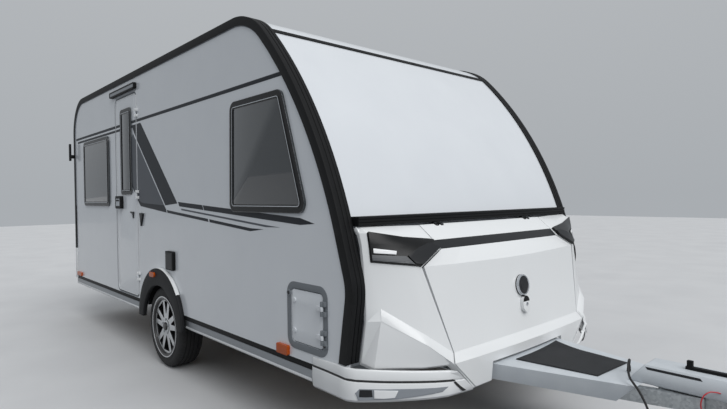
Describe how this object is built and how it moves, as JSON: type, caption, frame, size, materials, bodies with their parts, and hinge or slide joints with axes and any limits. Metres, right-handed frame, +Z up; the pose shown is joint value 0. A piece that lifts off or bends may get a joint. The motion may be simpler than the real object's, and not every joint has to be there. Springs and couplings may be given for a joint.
{
  "type": "travel caravan",
  "caption": "Single-axle travel caravan with a hollow cabin, opening door, service flaps and gas locker lid, standing on its wheels and jockey wheel.",
  "frame": {"origin": "on the ground under the middle of the overall length, on the centreline", "axes": "+X forward to the coupling, +Y to the left, +Z up"},
  "size_m": [6.73, 2.416, 2.572],
  "materials": {
    "white_panel": "gloss white skin",
    "white_moulding": "gloss white moulding",
    "cover_plastic": "satin light grey",
    "black_trim": "satin black",
    "arch_plastic": "grained dark grey",
    "grey_frame": "satin grey",
    "sill_aluminium": "brushed",
    "galvanised": "zinc coated",
    "coupling_steel": "dark paint",
    "rubber": "matt",
    "red_cable": "plastic coated wire",
    "tyre": "matt",
    "rim_alloy": "machined",
    "tinted_pane": "smoked acrylic",
    "clear_dome": "clear acrylic",
    "lamp_black": "gloss black lens",
    "lamp_red": "red lens",
    "lamp_amber": "amber lens",
    "lamp_grey": "grey lens",
    "floor_ply": "sealed plywood"
  },
  "bodies": {
    "body": {"floor_panel": "floor_ply", "wall_right": "white_panel", "wall_left": "white_panel", "roof_panel": "white_panel", "front_panel": "white_panel", "rear_panel": "white_panel", "bulkhead": "floor_ply", "locker_tray": "galvanised", "edge_trims": "black_trim", "front_strips": "black_trim", "sill_rails": "sill_aluminium", "sill_inserts": "black_trim", "wheel_arches": "arch_plastic", "wheel_boxes": "arch_plastic", "window_frames": "black_trim", "window_panes": "tinted_pane", "door_frames": "grey_frame", "awning_lamp": "lamp_grey", "socket_box": "black_trim", "side_markers": "lamp_amber", "locker_shell": "white_moulding", "front_lamps": "lamp_black", "front_bumpers": "white_moulding", "rear_bumper": "white_moulding", "rear_lamps": "lamp_red", "end_markers": "black_trim", "rooflights": "clear_dome", "chassis_rails": "galvanised", "drawbar": "galvanised", "axle_beam": "galvanised", "drawbar_cover": "cover_plastic", "nose_cover": "cover_plastic", "overrun_gear": "galvanised", "gaiter": "rubber", "coupling": "coupling_steel", "handbrake_lever": "black_trim", "jockey_tube": "galvanised", "left_fittings": "white_moulding", "drawbar_mat": "rubber", "supply_cable": "rubber", "supply_plug": "black_trim", "breakaway_cable": "red_cable"},
    "door": {"door_leaf": "white_panel", "door_window": "tinted_pane", "door_handle": "black_trim"},
    "service_flap": {"flap_right": "white_panel"},
    "tank_flap": {"flap_left": "white_panel"},
    "gas_lid": {"locker_lid": "white_moulding", "locker_lock": "black_trim"},
    "wheel_right": {"tyre_right": "tyre", "rim_right": "rim_alloy"},
    "wheel_left": {"tyre_left": "tyre", "rim_left": "rim_alloy"},
    "jockey_stem": {"jockey_stem": "galvanised"},
    "jockey_fork": {"jockey_fork": "galvanised"},
    "jockey_wheel": {"jockey_wheel": "rubber"},
    "steady_rear_right": {"steady_rear_right": "galvanised"},
    "steady_rear_left": {"steady_rear_left": "galvanised"},
    "steady_front_right": {"steady_front_right": "galvanised"},
    "steady_front_left": {"steady_front_left": "galvanised"}
  },
  "joints": [
    {"name": "door_hinge", "type": "hinge", "parent": "body", "child": "door", "pos_m": [-1.23, -1.165, 1.43], "axis": [0, 0, 1], "range_deg": [0, 165]},
    {"name": "service_flap_hinge", "type": "hinge", "parent": "body", "child": "service_flap", "pos_m": [1.455, -1.165, 0.737], "axis": [0, 0, 1], "range_deg": [0, 120]},
    {"name": "tank_flap_hinge", "type": "hinge", "parent": "body", "child": "tank_flap", "pos_m": [-2.315, 1.165, 0.79], "axis": [0, 0, -1], "range_deg": [0, 120]},
    {"name": "gas_lid_hinge", "type": "hinge", "parent": "body", "child": "gas_lid", "pos_m": [1.649, 0, 1.231], "axis": [0, -1, 0], "range_deg": [0, 75]},
    {"name": "wheel_right_spin", "type": "hinge", "parent": "body", "child": "wheel_right", "pos_m": [-0.715, -1.1, 0.332], "axis": [0, 1, 0], "continuous": true},
    {"name": "wheel_left_spin", "type": "hinge", "parent": "body", "child": "wheel_left", "pos_m": [-0.715, 1.1, 0.332], "axis": [0, 1, 0], "continuous": true},
    {"name": "jockey_lift", "type": "slide", "parent": "body", "child": "jockey_stem", "axis": [0, 0, 1], "range_m": [0, 0.15]},
    {"name": "jockey_swivel", "type": "hinge", "parent": "jockey_stem", "child": "jockey_fork", "pos_m": [3.025, 0.135, 0.236], "axis": [0, 0, 1], "continuous": true},
    {"name": "jockey_spin", "type": "hinge", "parent": "jockey_fork", "child": "jockey_wheel", "pos_m": [2.985, 0.135, 0.1], "axis": [0, 1, 0], "continuous": true},
    {"name": "steady_rear_right_hinge", "type": "hinge", "parent": "body", "child": "steady_rear_right", "pos_m": [-2.665, -0.7, 0.4], "axis": [0, -1, 0], "range_deg": [0, 52]},
    {"name": "steady_rear_left_hinge", "type": "hinge", "parent": "body", "child": "steady_rear_left", "pos_m": [-2.665, 0.7, 0.4], "axis": [0, -1, 0], "range_deg": [0, 52]},
    {"name": "steady_front_right_hinge", "type": "hinge", "parent": "body", "child": "steady_front_right", "pos_m": [0.985, -0.7, 0.4], "axis": [0, 1, 0], "range_deg": [0, 52]},
    {"name": "steady_front_left_hinge", "type": "hinge", "parent": "body", "child": "steady_front_left", "pos_m": [0.985, 0.7, 0.4], "axis": [0, 1, 0], "range_deg": [0, 52]}
  ]
}
